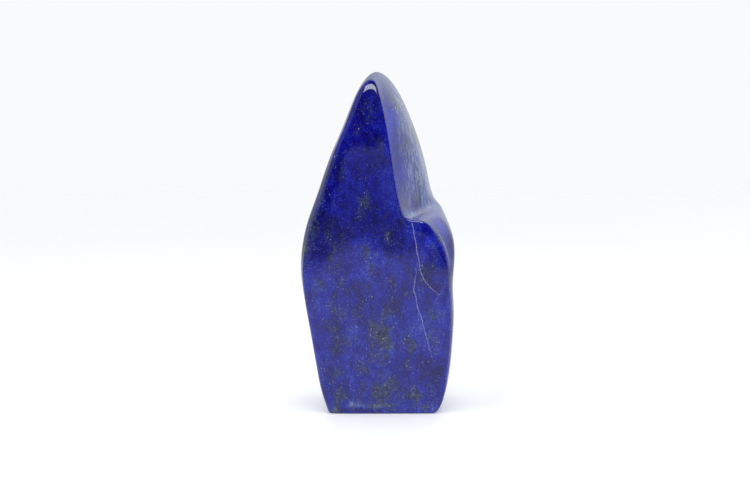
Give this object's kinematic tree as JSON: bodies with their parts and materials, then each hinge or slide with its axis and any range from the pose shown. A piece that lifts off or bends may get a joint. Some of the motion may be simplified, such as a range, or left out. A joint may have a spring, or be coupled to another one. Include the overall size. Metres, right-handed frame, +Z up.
{
  "type": "lapis lazuli freeform",
  "caption": "Polished standing freeform of lapis lazuli with a flat front face, a stepped shoulder, a rounded tip and a flat sawn base, for display.",
  "frame": {"origin": "on the surface that the stone stands on, under the middle of its bounding box", "axes": "+Z up from the sawn base to the tip, -Y out of the flat front face, +X to the right of that face, where the shoulder is"},
  "size_m": [0.0481, 0.0336, 0.1053],
  "materials": {
    "lapis": "polished"
  },
  "bodies": {
    "root": {"lapis_stone": "lapis"}
  },
  "joints": []
}
